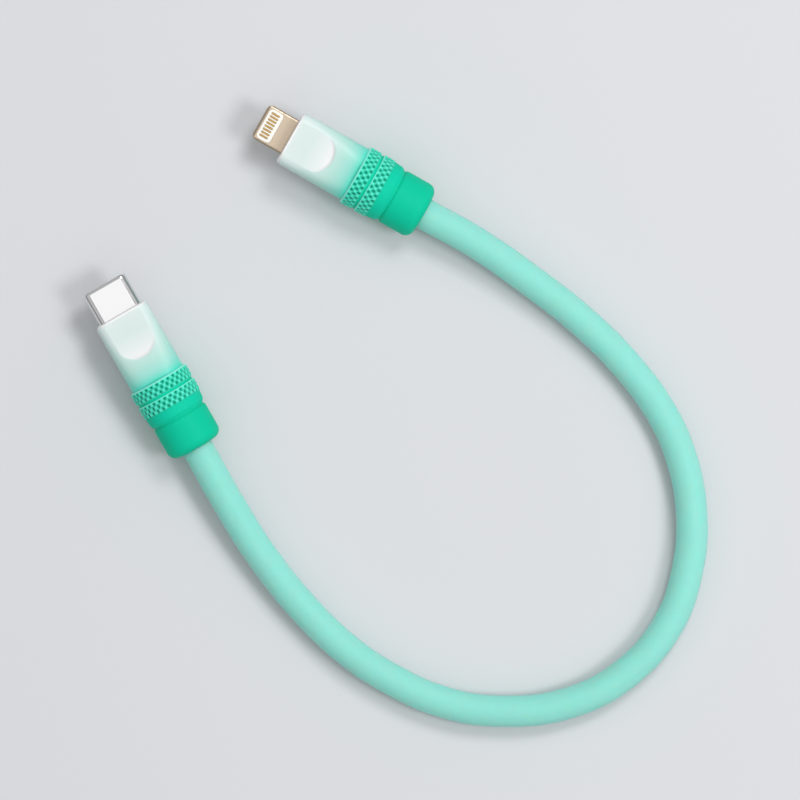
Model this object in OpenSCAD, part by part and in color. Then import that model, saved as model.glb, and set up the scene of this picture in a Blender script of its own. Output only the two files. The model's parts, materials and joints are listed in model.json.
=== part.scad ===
// Short charging cable: a fat soft cord with a USB-C plug at one end and a flat eight-pin plug at
// the other. Each plug sits in a tapered front shell with a flat thumb rest on both faces, then a
// knurled collar and a smooth boot. The cable lies on a table at z = 0.
// Millimetres. Each end is drawn along its own X axis: x = 0 where the cord leaves the boot, and
// +X towards the plug's tip.

/* [Cord] */
// Outside diameter of the jacket
cord_d = 5.5; // [5:0.1:6]
// Wall of the jacket
jacket_wall = 0.7; // [0.5:0.05:0.75]
// Thickness of the braided shield under the jacket
braid_t = 0.15; // [0.1:0.05:0.2]
// Diameter of the power and ground wires
power_wire_d = 1.2; // [0.8:0.05:1.25]
// Diameter of the data and sense wires
data_wire_d = 0.8; // [0.5:0.05:0.85]
// Diameter of the strength yarn
yarn_d = 0.7; // [0.4:0.05:0.9]

/* [Boot] */
// Length of the boot that shows behind the collar
boot_l = 6.4; // [5:0.1:9]
// Outside diameter of the boot
boot_d = 10.1; // [10.1:0.1:10.6]
// Radius on the boot's rear edge
boot_edge_r = 1.6; // [0.6:0.1:1.8]

/* [Collar] */
// Diameter of the spigots that the boot and the front shell put into the collar
spigot_d = 9.5; // [9.4:0.05:9.6]
// Length of the smooth flare between the boot and the knurling
flare_l = 2.2; // [1.2:0.1:3]
// Length of each of the two knurled bands
band_l = 2.25; // [1.8:0.05:3.2]
// Width of the groove between the bands
groove_w = 0.5; // [0.2:0.05:0.7]
// Width of the plain rim in front of the second band
rim_l = 0.15; // [0.1:0.05:0.4]
// Diameter over the knurl's crossings
knurl_d = 11.1; // [10.8:0.05:11.6]
// Depth of the knurl's pits
knurl_depth = 0.35; // [0.15:0.05:0.4]
// Number of pits round each row
knurl_count = 30; // [22:4:38]

/* [Front shell] */
// Length of the shell in front of the collar
shell_l = 13; // [11:0.1:18]
// Width of the shell
shell_w = 10; // [9.9:0.1:10.8]
// Thickness of the shell beside the collar
shell_rear_h = 9.7; // [9.7:0.1:10.1]
// Thickness of the shell at its front
shell_front_h = 7.3; // [7.2:0.1:8]
// Radius along the front edge
shell_edge_r = 0.5; // [0.3:0.1:0.8]
// How far back the rounding of the front corners starts
shell_corner_l = 1; // [0.6:0.1:1.3]
// How much that rounding takes off each side
shell_corner_w = 0.7; // [0.4:0.05:0.75]
// Wall between the cavity and the front face
shell_front_wall = 1.5; // [1:0.1:2]
// Radius of the thumb rest's rear end
rest_r = 3.9; // [3:0.1:4.3]
// Distance from the front face to the centre of that radius
rest_back = 4.6; // [3:0.1:6]
// Thickness left between the two thumb rests at the front
rest_h = 7; // [6.8:0.1:7.2]
// Angle at which each thumb rest rises towards the collar
rest_slope = 2; // [1:0.5:3]

/* [USB-C plug] */
// Length of the plug in front of the shell
usb_c_out = 5.9; // [5.8:0.05:6.65]
// Width of the plug
usb_c_w = 8.25; // [8.15:0.05:8.3]
// Height of the plug
usb_c_h = 2.4; // [2.35:0.05:2.45]
// Wall of the drawn steel shell
usb_c_wall = 0.2; // [0.15:0.05:0.25]
// Width of the slot that takes the socket's tongue
tongue_w = 6.8; // [6.7:0.05:6.9]
// Height of that slot
tongue_h = 1; // [0.9:0.05:1.1]
// Spacing of the contacts in each row
usb_c_pitch = 0.5; // [0.45:0.01:0.52]
// Width of each contact
usb_c_contact_w = 0.25; // [0.2:0.01:0.28]

/* [Eight-pin plug] */
// Length of the metal tab in front of the shell
tab_out = 5.9; // [5.8:0.05:6.7]
// Width of the tab
tab_w = 6.7; // [6.6:0.05:6.8]
// Thickness of the tab
tab_t = 1.5; // [1.45:0.05:1.6]
// Radius of the tab's two tip corners
tab_tip_r = 1; // [0.5:0.1:1.4]
// Width of the contact window
window_w = 5.7; // [5.4:0.05:5.8]
// Length of the contact window
window_l = 2.7; // [2.2:0.05:3]
// Metal left in front of the contact window
window_front = 0.6; // [0.4:0.05:0.9]
// Spacing of the eight contacts
pin_pitch = 0.61; // [0.55:0.01:0.63]
// Width of each contact
pin_w = 0.36; // [0.25:0.01:0.42]
// Length of each contact
pin_l = 1.6; // [1.2:0.05:1.9]

/* [Inside] */
// Thickness of the USB-C circuit board
usb_c_board_t = 0.8; // [0.6:0.1:0.8]
// Thickness of the eight-pin circuit board
pin_board_t = 0.6; // [0.4:0.05:0.65]
// Width of both circuit boards
board_w = 6.2; // [5.4:0.1:6.4]
// Wall of the folded shield cans
can_wall = 0.2; // [0.15:0.05:0.3]
// Width of the shield cans
can_w = 7; // [6.8:0.1:7.1]
// Height of the two cans together
can_h = 4.6; // [4.4:0.1:4.7]

/* [Hidden] */
$fn = 64;

fit = 0.05;                                        // clearance between pieces that slide together
touch = 0.02;                                      // clearance between pieces that lie on each other
cut = 1;                                           // how far a cutter runs past what it cuts

// Walls and lengths inside each end
spigot_wall = 0.5;
spigot_l = 2.6;                                    // boot's spigot inside the collar
rest_wall = 0.7;                                   // between a thumb rest and the cavity
tail_wall = 0.8;                                   // inner mould round the cord
mould_tail = 3.2;                                  // inner mould inside the boot
plug_in = 4.7;                                     // plugs' metal inside the front shell
board_l = 9.2;                                     // from the boards' rear edge to the plugs' metal
wire_room = 2.8;                                   // for the wires, behind the boards
strip_l = 1.8;                                     // braid left bare behind the cans
braid_out = 0.6;                                   // braid past the jacket's end
yarn_out = 0.8;                                    // strength yarn past the jacket's end
crimp_l = 3.4;
crimp_wall = 0.35;

boot_green = [0.09, 0.78, 0.63];
knurl_green = [0.12, 0.83, 0.68];
cord_mint = [0.58, 0.9, 0.84];
shell_white = [0.85, 0.95, 0.92];
steel = [0.86, 0.86, 0.87];
champagne = [0.77, 0.7, 0.62];
gold = [0.83, 0.66, 0.3];
copper_tin = [0.72, 0.7, 0.66];
black_plastic = [0.08, 0.08, 0.09];
white_plastic = [0.95, 0.94, 0.91];
board_green = [0.05, 0.35, 0.2];
natural_plastic = [0.88, 0.87, 0.8];

// Stations along an end
seam_x = boot_l;
band_x = seam_x + flare_l;
collar_x = band_x + 2 * band_l + groove_w + rim_l; // the collar's front face
front_x = collar_x + shell_l;                      // the front shell's front face
usb_c_tip_x = front_x + usb_c_out;
tab_tip_x = front_x + tab_out;
plug_root_x = front_x - plug_in;                   // where the plugs' metal starts
board_x = plug_root_x - board_l;
can_x = board_x - wire_room;
jacket_end_x = can_x - strip_l;
crimp_x = can_x - crimp_l;
mould_x = seam_x - mould_tail;                     // the inner mould's rear end
core_x = seam_x + spigot_l;                        // where the inner mould widens

// Radii and half sizes
cord_r = cord_d / 2;
bore_r = cord_r + fit;
boot_r = boot_d / 2;
knurl_r = knurl_d / 2;
spigot_r = spigot_d / 2;
tail_r = bore_r + tail_wall;                       // inner mould where it grips the cord
core_r = spigot_r - spigot_wall - fit;             // inner mould inside the collar
cavity_w = usb_c_w + 0.15;                         // cavity of the front shell
cavity_h = rest_h - 2 * rest_wall;
cavity_r = 2.45;
can_r = 1.1;
crimp_r = bore_r + crimp_wall;
crimp_flange_r = crimp_r + crimp_wall;

// The cable rests on each collar's first knurled row and on the boot's rear edge, which tips the
// plugs up a little.
rows = 3;                                          // rows of pits in a band
row_step = band_l / rows;
rest_x = band_x + row_step / 2;
tilt = atan((knurl_r - boot_r) / (rest_x - boot_edge_r));
exit_z = knurl_r * cos(tilt) - rest_x * sin(tilt);

// Where the cord leaves each boot, and the way each plug points
usb_c_exit = [-10.8, -28.7, exit_z];
usb_c_heading = 119.8;
pin_exit = [28.55, 11.95, exit_z];
pin_heading = 150.4;

// The cord's centre line from the USB-C boot to the eight-pin boot. The third number is how high
// the cord is lifted above lying on the table.
ROUTE = [
    [-5, -39, 1.5], [0, -47, 0.6], [7.5, -56.5, 0.15], [15.4, -64.1, 0], [22.9, -69.1, 0],
    [32, -73.1, 0], [41.5, -74.7, 0], [54.1, -73.2, 0], [63.7, -68.2, 0], [71.2, -59.6, 0],
    [74.6, -50, 0], [75.3, -40.5, 0], [73.3, -29.9, 0], [69.6, -22, 0], [64, -14.5, 0],
    [56.5, -7, 0.15], [46.4, 0.9, 0.6], [37.5, 7, 1.5]
];

// Strands in the cord: [across, up, diameter, pad position across, pad side]
POWER = [-0.68, 0.85, power_wire_d, -1.7, 1];
GROUND = [0.68, 0.85, power_wire_d, 1.7, 1];
DATA_PLUS = [-1.1, -0.65, data_wire_d, -1.8, -1];
DATA_MINUS = [1.1, -0.65, data_wire_d, 1.8, -1];
SENSE = [0, -1.3, data_wire_d, 0, -1];

jacket_sides = 12;
strand_sides = 8;
knurl_columns = 2 * knurl_count;
shell_points = 40;

// ---------- placing ----------

// A point of an end's own frame, in the cable's frame
function placed(exit, heading, p) = exit
    + p.x * [cos(tilt) * cos(heading), cos(tilt) * sin(heading), sin(tilt)]
    + p.y * [-sin(heading), cos(heading), 0]
    + p.z * [-sin(tilt) * cos(heading), -sin(tilt) * sin(heading), cos(tilt)];

module on_usb_c_end() translate(usb_c_exit) rotate([0, -tilt, usb_c_heading]) children();
module on_pin_end() translate(pin_exit) rotate([0, -tilt, pin_heading]) children();

// Extrudes an outline drawn across and up, along X from x0 to x1
module along_x(x0, x1) translate([x0, 0, 0]) rotate([90, 0, 90]) linear_extrude(x1 - x0) children();
// Extrudes a side view drawn in x and z, across the whole width w
module across(w) rotate([90, 0, 0]) linear_extrude(w, center = true) children();
// Turns an outline of [radius, x] points round the X axis
module turned() rotate([0, 90, 0]) rotate_extrude() children();
module block(x0, x1, w, z0, z1) translate([x0, -w / 2, z0]) cube([x1 - x0, w, z1 - z0]);

module rounded_outline(w, h, r) {
    square([w - 2 * r, h], center = true);
    if (h > 2 * r) square([w, h - 2 * r], center = true);
    for (sx = [-1, 1], sy = [-1, 1])
        translate([sx * (w / 2 - r), sy * (h / 2 - r)]) circle(r);
}

// ---------- skins made of rings ----------

// Triangles of a quad between ring k and ring m, split along one diagonal or the other
function quad(k, m, i, n, flip) = let (j = (i + 1) % n) flip
    ? [[k * n + i, m * n + i, k * n + j], [m * n + i, m * n + j, k * n + j]]
    : [[k * n + i, m * n + i, m * n + j], [k * n + i, m * n + j, k * n + j]];

// A closed surface through rings of equally many points. A loop of rings closes on itself, and
// otherwise each end gets a cap. Staggered quads split along alternate diagonals.
module skin(rings, loop = false, staggered = false) {
    n = len(rings[0]);
    last = len(rings) - 1;
    walls = [for (k = [0 : loop ? last : last - 1], i = [0 : n - 1])
        each quad(k, (k + 1) % (last + 1), i, n, staggered && (i + k) % 2 == 0)];
    caps = loop ? [] : [for (i = [1 : n - 2])
        each [[0, i, i + 1], [last * n, last * n + i + 1, last * n + i]]];
    polyhedron(points = [for (r = rings) each r], faces = concat(walls, caps), convexity = 6);
}

// ---------- the cord ----------

function unit(v) = v / norm(v);
function lifted(p) = [p.x, p.y, cord_r + p.z];
// Points inside an end, at x along it and at an offset across and up in the cord. The cord leaves
// the USB-C end and enters the eight-pin end, so across is mirrored between them.
function in_usb_c(x, o) = placed(usb_c_exit, usb_c_heading, [x, -o.x, o.y]);
function in_pin(x, o) = placed(pin_exit, pin_heading, [x, o.x, o.y]);

free_line = concat([usb_c_exit], [for (p = ROUTE) lifted(p)], [pin_exit]);
function heading_at(line, i) = unit(line[min(i + 1, len(line) - 1)] - line[max(i - 1, 0)]);
function side_of(t) = unit(cross([0, 0, 1], t));
function beside(p, t, o) = p + o.x * side_of(t) + o.y * cross(t, side_of(t));

// The line of one strand through the free stretch, beside the cord's centre line
function free_strand(o) = [for (i = [1 : len(free_line) - 2])
    beside(free_line[i], heading_at(free_line, i), o)];

function ring(line, i, r, n) = let (t = heading_at(line, i))
    [for (k = [0 : n - 1]) beside(line[i], t, r * [cos((k + 0.5) * 360 / n), sin((k + 0.5) * 360 / n)])];
function tube(line, r, n) = [for (i = [0 : len(line) - 1]) ring(line, i, r, n)];

// A hollow tube: the outer rings run forward and the inner rings run back
module sleeve(line, outer_r, inner_r, n) {
    inner = tube(line, inner_r, n);
    skin(concat(tube(line, outer_r, n), [for (i = [len(line) - 1 : -1 : 0]) inner[i]]), loop = true);
}

function bundle_line(end_x) = concat([in_usb_c(end_x, [0, 0]), in_usb_c(0, [0, 0])],
    free_strand([0, 0]), [in_pin(0, [0, 0]), in_pin(end_x, [0, 0])]);

braid_r = cord_r - jacket_wall - fit;
module cord_jacket() color(cord_mint)
    sleeve(bundle_line(jacket_end_x), cord_r, cord_r - jacket_wall, jacket_sides);
module cord_braid() color(copper_tin)
    sleeve(bundle_line(jacket_end_x + braid_out), braid_r, braid_r - braid_t, jacket_sides);

// A wire fans out of the cord to its solder pad, which is on the upper or the lower face of each
// board, and lies on the pad between pad_x0 and pad_x1
pad_x0 = board_x + 0.2;
pad_x1 = board_x + 1.6;
fan_x = can_x + 0.3;
function pad_spot(strand, board_t) = [strand[3], strand[4] * (board_t / 2 + pad_t + strand[2] / 2)];
function strand_line(s) =
    let (o = [s[0], s[1]], a = pad_spot(s, usb_c_board_t), b = pad_spot(s, pin_board_t))
    concat([in_usb_c(pad_x1, a), in_usb_c(pad_x0, a), in_usb_c(fan_x, o), in_usb_c(0, o)],
        free_strand(o),
        [in_pin(0, o), in_pin(fan_x, o), in_pin(pad_x0, b), in_pin(pad_x1, b)]);
module wire(s) skin(tube(strand_line(s), s[2] / 2, strand_sides));

module power_wire() color("red") wire(POWER);
module ground_wire() color([0.15, 0.15, 0.16]) wire(GROUND);
module data_plus_wire() color("green") wire(DATA_PLUS);
module data_minus_wire() color("white") wire(DATA_MINUS);
module sense_wire() color("blue") wire(SENSE);
yarn_at = [0, -0.25];
yarn_end_x = jacket_end_x + yarn_out;
module strength_yarn() color([0.9, 0.85, 0.5])
    skin(tube(concat([in_usb_c(yarn_end_x, yarn_at), in_usb_c(0, yarn_at)], free_strand(yarn_at),
        [in_pin(0, yarn_at), in_pin(yarn_end_x, yarn_at)]), yarn_d / 2, strand_sides));

// ---------- boot, collar and front shell ----------

bevel = 0.15;                                      // on the edges beside the seam and the bands

// A soft sleeve over the cord, with a spigot that goes into the collar
module boot() turned() {
    e = boot_edge_r;
    polygon(concat(
        [for (a = [90 : -15 : 0]) [boot_r - e + e * cos(a), e - e * sin(a)]],
        [[boot_r, seam_x - bevel], [boot_r - bevel, seam_x],
         [spigot_r, seam_x], [spigot_r, core_x - 2 * fit],
         [tail_r + fit, core_x - 2 * fit], [tail_r + fit, mould_x - fit],
         [bore_r, mould_x - fit], [bore_r, 0]]));
}

// The collar's rings as [x, radius, depth of the pits]
groove_depth = 0.35;
flare_rise = 0.2;
second_band_x = band_x + band_l + groove_w;
function band_rings(x) = concat([[x, knurl_r - bevel, 0]],
    [for (k = [0 : rows - 1]) [x + (k + 0.5) * row_step, knurl_r, knurl_depth]],
    [[x + band_l, knurl_r - bevel, 0]]);
COLLAR_RINGS = concat(
    [[seam_x, spigot_r + fit, 0], [seam_x, boot_r - bevel, 0], [seam_x + bevel, boot_r, 0],
     [seam_x + 0.3 * flare_l, boot_r + flare_rise, 0], [band_x - bevel, knurl_r - 1.5 * bevel, 0]],
    band_rings(band_x),
    [[band_x + band_l + groove_w / 4, knurl_r - 0.8 * groove_depth, 0],
     [band_x + band_l + groove_w / 2, knurl_r - groove_depth, 0],
     [second_band_x - groove_w / 4, knurl_r - 0.8 * groove_depth, 0]],
    band_rings(second_band_x),
    [[collar_x, knurl_r - 2 * bevel, 0], [collar_x, spigot_r + fit, 0]]);

// A sleeve with two bands of diamond knurling. Pits and crossings alternate round each row and
// from row to row, so the triangles' edges between crossings are the ridges.
module collar() skin([for (k = [0 : len(COLLAR_RINGS) - 1])
    [for (i = [0 : knurl_columns - 1])
        let (a = i * 360 / knurl_columns, c = COLLAR_RINGS[k], r = (i + k) % 2 == 0 ? c[1] - c[2] : c[1])
        [c[0], r * cos(a), r * sin(a)]]],
    loop = true, staggered = true);

// Outlines of equally many points, for the front shell's rings
RING_ANGLES = [for (i = [0 : shell_points - 1]) (i + 0.5) * 360 / shell_points];
function rounded_ring(x, w, h, r) = [for (a = RING_ANGLES)
    [x, sign(cos(a)) * (w / 2 - r) + r * cos(a), sign(sin(a)) * (h / 2 - r) + r * sin(a)]];
function round_ring(x, r) = rounded_ring(x, 2 * r, 2 * r, r);
function full_ring(x, w, h, e) = [for (a = RING_ANGLES)
    [x, w / 2 * sign(cos(a)) * pow(abs(cos(a)), 2 / e), h / 2 * sign(sin(a)) * pow(abs(sin(a)), 2 / e)]];

// The shell goes from nearly round beside the collar to a flat squarish front
function shell_share(x) = (x - collar_x) / shell_l;
function shell_h(x) = shell_rear_h - (shell_rear_h - shell_front_h) * pow(shell_share(x), 0.55);
// What a rounding of length l and width w takes off each side at x
function rounding(x, l, w) = let (share = max(1 - (front_x - x) / l, 0)) w * (1 - sqrt(1 - share * share));
function shell_ring(x) = full_ring(x, shell_w - 2 * rounding(x, shell_corner_l, shell_corner_w),
    shell_h(x) - 2 * rounding(x, shell_edge_r, shell_edge_r), 2.4 + 2.2 * pow(shell_share(x), 0.7));

// A hollow shell with a spigot for the collar, tapering to a front face that the plug comes out of.
// Its cavity starts a little in front of the collar, where a funnel leads into it.
funnel_l = 0.5;
module front_shell(plug_w, plug_h, plug_r) difference() {
    skin(concat(
        [round_ring(core_x, spigot_r), round_ring(collar_x, spigot_r)],
        [for (k = [0 : 6]) shell_ring(collar_x + k / 6 * (shell_l - shell_corner_l))],
        [for (a = [30 : 20 : 90]) shell_ring(front_x - shell_corner_l * (1 - sin(a)))],
        [rounded_ring(front_x, plug_w + 2 * fit, plug_h + 2 * fit, plug_r + fit),
         rounded_ring(front_x - shell_front_wall, plug_w + 2 * fit, plug_h + 2 * fit, plug_r + fit),
         rounded_ring(front_x - shell_front_wall, cavity_w, cavity_h, cavity_r),
         rounded_ring(collar_x + funnel_l, cavity_w, cavity_h, cavity_r),
         round_ring(collar_x, spigot_r - spigot_wall), round_ring(core_x, spigot_r - spigot_wall)]),
        loop = true);
    for (side = [0, 1]) mirror([0, 0, side]) thumb_rest_cutter();
}

// The thumb rest is a flat with a round rear end, and it runs out over the front edge
module thumb_rest_cutter() translate([front_x, 0, rest_h / 2]) rotate([0, rest_slope, 0])
    linear_extrude(shell_rear_h) {
        translate([-rest_back, 0]) circle(rest_r);
        translate([-rest_back, -rest_r]) square([rest_back + cut, 2 * rest_r]);
    }

// ---------- inside each end ----------

// Moulded block round the cans, the crimp and the end of the jacket
module inner_mould() difference() {
    union() {
        turned() polygon([[0, mould_x], [tail_r, mould_x], [tail_r, core_x], [core_r, core_x],
            [core_r, collar_x - fit], [0, collar_x - fit]]);
        along_x(collar_x - fit, plug_root_x - fit)
            rounded_outline(cavity_w - 2 * fit, cavity_h - 2 * fit, cavity_r - fit);
    }
    turned() polygon([[0, mould_x - cut], [bore_r, mould_x - cut], [bore_r, crimp_x - fit],
        [crimp_r + fit, crimp_x - fit], [crimp_r + fit, can_x - 2 * crimp_wall - fit],
        [crimp_flange_r + fit, can_x - crimp_wall - fit], [crimp_flange_r + fit, can_x], [0, can_x]]);
    along_x(can_x - fit, plug_root_x + cut) rounded_outline(can_w + 2 * fit, can_h + 2 * fit, can_r + fit);
}

// Ferrule squeezed on the jacket's end, with a flange against the cans
module crimp() turned() polygon([[bore_r, crimp_x], [crimp_r, crimp_x], [crimp_r, can_x - 2 * crimp_wall],
    [crimp_flange_r, can_x - crimp_wall], [crimp_flange_r, can_x - touch], [braid_r + fit, can_x - touch],
    [braid_r + fit, jacket_end_x + fit], [bore_r, jacket_end_x + fit]]);

// Upper half of the folded can; the lower half is its mirror image
module can() intersection() {
    difference() {
        along_x(can_x, plug_root_x - 2 * fit) rounded_outline(can_w, can_h, can_r);
        along_x(can_x + can_wall, plug_root_x + cut)
            rounded_outline(can_w - 2 * can_wall, can_h - 2 * can_wall, can_r - can_wall);
        along_x(can_x - cut, can_x + cut) circle(braid_r);
    }
    block(can_x - cut, plug_root_x + cut, can_w + cut, touch / 2, can_h);
}

// A small part on a board, or under it where h is negative
module chip(x, y, l, w, h, z) translate([x - l / 2, y - w / 2, min(z, z + h)]) cube([l, w, abs(h)]);
// Solder pads for the wires, above and below a board
pad_t = 0.02;
pad_l = 1.8;
module solder_pads(z) for (s = [POWER, GROUND, DATA_PLUS, DATA_MINUS, SENSE])
    chip(board_x + pad_l / 2, s[3], pad_l, s[2], s[4] * pad_t, s[4] * z);
// Small parts on each board: [from its rear edge, across, length, width, height]. A part with a
// negative height is under the board.
USB_C_PARTS = [[3.4, 0.2, 1.2, 1.4, 0.6], [5, -1.2, 1, 0.5, 0.45], [5, 0, 1, 0.5, 0.45],
    [5, 1.2, 1, 0.5, 0.45], [4.2, -1.8, 1, 0.5, -0.45], [4.2, 1.8, 1, 0.5, -0.45]];
PIN_PARTS = [[3.4, -1.6, 1.6, 1, 0.6], [5.8, 0.6, 2.4, 2.4, 0.8], [6.6, -2.2, 1, 0.5, 0.5],
    [6.6, -1.2, 1, 0.5, 0.5], [5.4, 0, 2, 2.6, -0.7]];
module small_parts(list, z) {
    for (p = list) chip(board_x + p[0], p[1], p[2], p[3], p[4], sign(p[4]) * z);
    solder_pads(z);
}

// ---------- USB-C plug ----------

slot_x = plug_root_x + 3;                          // the back of the tongue's slot
lip_l = 0.3;
insulator_x = plug_root_x + 0.4;
insulator_front_x = usb_c_tip_x - lip_l - fit;
side_y = (usb_c_w - usb_c_h) / 2;                  // centres of the plug's round sides
insulator_w = usb_c_w - 2 * usb_c_wall - 2 * fit;
insulator_h = usb_c_h - 2 * usb_c_wall - 2 * fit;

// Wall of the plug's shell as [radius, x]: the front edge is rounded and turned in as a lip
function shell_wall() = let (r = usb_c_h / 2, e = 0.25, lip = usb_c_wall + 0.15) concat(
    [[r - usb_c_wall, plug_root_x], [r, plug_root_x]],
    [for (a = [0 : 15 : 90]) [r - e + e * cos(a), usb_c_tip_x - e + e * sin(a)]],
    [[r - lip, usb_c_tip_x], [r - lip, usb_c_tip_x - lip_l], [r - usb_c_wall, usb_c_tip_x - lip_l]]);

module plug_shell() for (m = [0, 1]) {
    mirror([0, m, 0]) translate([0, side_y, 0]) rotate([0, 90, 0]) rotate_extrude(angle = 180)
        polygon(shell_wall());
    mirror([0, 0, m]) across(2 * side_y) polygon([for (p = shell_wall()) [p[1], p[0]]]);
}

// Side view of one upper contact: a tail on the board, a beam, and a bump that meets the tongue
contact_t = 0.13;
contact_tail_z = usb_c_board_t / 2 + touch / 2;
contact_beam_z = 0.56;
beam_from = 1.2;                                   // the beam's ends, from the insulator and the tip
beam_to = 3.9;
CONTACT_LINE = [[plug_root_x - 1.2, contact_tail_z], [insulator_x + 0.4, contact_tail_z],
    [insulator_x + beam_from, contact_beam_z], [usb_c_tip_x - beam_to, contact_beam_z],
    [usb_c_tip_x - 3, contact_beam_z - 0.19], [usb_c_tip_x - 2.4, contact_beam_z - 0.03]];
module at_contacts() for (i = [-5.5 : 5.5]) translate([0, i * usb_c_pitch, 0]) children();
module contact_row() at_contacts() across(usb_c_contact_w) polygon(concat(CONTACT_LINE,
    [for (k = [len(CONTACT_LINE) - 1 : -1 : 0]) CONTACT_LINE[k] + [0, contact_t]]));

// Flat spring between the rows, with an arm down each side of the slot that catches the socket
latch_t = 0.2;
arm_y = tongue_w / 2 + (insulator_w - tongue_w) / 6;
arm_w = 0.25;
catch_l = 0.6;
catch_x = usb_c_tip_x - 2.6;
yoke_x0 = insulator_x + 0.3;
yoke_x1 = slot_x - 0.5;
// A rectangle between two corners, grown all round
module grown(x0, x1, y0, y1, grow) translate([x0 - grow, y0 - grow])
    square([x1 - x0 + 2 * grow, y1 - y0 + 2 * grow]);
module latch_outline(grow) {
    grown(yoke_x0, yoke_x1, -arm_y, arm_y, grow);
    for (m = [0, 1]) mirror([0, m]) {
        grown(yoke_x1 - arm_w, catch_x + catch_l, arm_y - arm_w, arm_y, grow);
        grown(catch_x, catch_x + catch_l, arm_y - 2 * arm_w, arm_y, grow);
    }
}
module latch_spring() translate([0, 0, -latch_t / 2]) linear_extrude(latch_t) latch_outline(0);

// Ground spring above the insulator, with fingers that dip into the slot's mouth
spring_w = 6;
spring_t = 0.1;
spring_z = insulator_h / 2 - spring_t - touch;     // floor of the pocket that holds it
spring_front = 0.75;                               // from the tip to the spring
spring_l = 2.85;
spring_x1 = usb_c_tip_x - spring_front;
spring_x0 = spring_x1 - spring_l;
finger_w = 0.6;
finger_pitch = 1.6;
finger_dip = 0.5;                                  // how far a finger's bend lies below the spring
module at_fingers() for (i = [-1.5 : 1.5]) translate([0, i * finger_pitch, 0]) children();
module ground_spring() {
    z = spring_z + touch;
    block(spring_x0, spring_x1, spring_w, z, z + spring_t);
    at_fingers() across(finger_w)
        polygon([[spring_x1, z], [spring_x1, z + spring_t], [spring_x1 - 0.15, z + spring_t],
            [spring_x1 - 0.75, z + spring_t - finger_dip], [spring_x1 - 1.2, z - finger_dip / 2 + spring_t],
            [spring_x1 - 1.2, z - finger_dip / 2], [spring_x1 - 0.75, z - finger_dip]]);
}

module insulator() difference() {
    along_x(insulator_x, insulator_front_x) rounded_outline(insulator_w, insulator_h, insulator_h / 2);
    block(slot_x, usb_c_tip_x, tongue_w, -tongue_h / 2, tongue_h / 2);
    translate([0, 0, -latch_t / 2 - fit / 2]) linear_extrude(latch_t + fit) latch_outline(fit);
    for (m = [0, 1]) mirror([0, 0, m]) {
        at_contacts() block(insulator_x - cut, usb_c_tip_x - 2.3, usb_c_contact_w + fit,
            contact_tail_z - fit, contact_beam_z + contact_t + fit);
        block(spring_x0 - fit, usb_c_tip_x, spring_w + 2 * fit, spring_z, insulator_h);
        at_fingers() block(spring_x1 - 1.3, spring_x1 + 0.1, finger_w + 2 * fit, 0, insulator_h);
    }
}

module usb_c_board_shape() along_x(board_x, plug_root_x - 4 * fit)
    square([board_w, usb_c_board_t], center = true);

module usb_c_small_parts() small_parts(USB_C_PARTS, usb_c_board_t / 2);

// ---------- eight-pin plug ----------

window_x = tab_tip_x - window_front - window_l / 2;
tongue_board_w = 4.9;                              // the board's tongue inside the tab
tongue_tip_x = window_x + window_l / 2 - 0.4;
pin_x = window_x + 0.1;
window_r = 0.7;

// The tab's wider root inside the front shell's cavity
root_w = cavity_w - 0.4;
root_h = 3;
root_r = 1;

// Notch on each side of the tab that the socket's spring catches
notch_back = 4.3;                                  // from the tip to the notches
notch_x = tab_tip_x - notch_back;
notch_r = 0.9;
notch_depth = 0.35;
notch_h = 0.8;

// Metal tab with a wider root inside the front shell, a hollow for the board and a window through it
module tab() difference() {
    union() {
        intersection() {
            along_x(plug_root_x, tab_tip_x) rounded_outline(tab_w, tab_t, 0.4);
            linear_extrude(tab_t, center = true) tip_outline(tab_w, tab_tip_r);
            across(tab_w) tip_outline(tab_t, 0.5);
        }
        along_x(plug_root_x, front_x - shell_front_wall - fit) rounded_outline(root_w, root_h, root_r);
    }
    along_x(plug_root_x - cut, window_x)
        square([tongue_board_w + 2 * fit, pin_board_t + 2 * fit], center = true);
    linear_extrude(tab_t + cut, center = true) window_outline(0);
    for (m = [0, 1]) mirror([0, m, 0])
        translate([notch_x, tab_w / 2 + notch_r - notch_depth, -notch_h / 2])
            cylinder(r = notch_r, h = notch_h);
}

module tip_outline(w, r) {
    translate([plug_root_x, -w / 2]) square([tab_tip_x - plug_root_x - r, w]);
    translate([plug_root_x, -w / 2 + r]) square([tab_tip_x - plug_root_x, w - 2 * r]);
    for (s = [-1, 1]) translate([tab_tip_x - r, s * (w / 2 - r)]) circle(r);
}

module window_outline(inset) translate([window_x, 0])
    rounded_outline(window_l - 2 * inset, window_w - 2 * inset, window_r - inset);

// The upper row of contacts, each a bar with round ends between heights z0 and z1
module pin_row(grow, z0, z1) for (i = [-3.5 : 3.5]) translate([pin_x, i * pin_pitch, z0])
    linear_extrude(z1 - z0) rounded_outline(pin_l + 2 * grow, pin_w + 2 * grow, 0.95 * pin_w / 2 + grow);

module contact_carrier() difference() {
    linear_extrude(tab_t, center = true) window_outline(touch);
    block(window_x - window_l, tongue_tip_x + fit, tongue_board_w + 2 * fit,
        -pin_board_t / 2 - fit / 2, pin_board_t / 2 + fit / 2);
    for (m = [0, 1]) mirror([0, 0, m]) pin_row(fit / 2, 0, tab_t);
}

module pin_board_shape() {
    along_x(board_x, plug_root_x - 2 * fit) square([board_w, pin_board_t], center = true);
    block(plug_root_x - 2 * fit, tongue_tip_x, tongue_board_w, -pin_board_t / 2, pin_board_t / 2);
}

module pin_small_parts() small_parts(PIN_PARTS, pin_board_t / 2);

// ---------- nodes ----------

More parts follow.
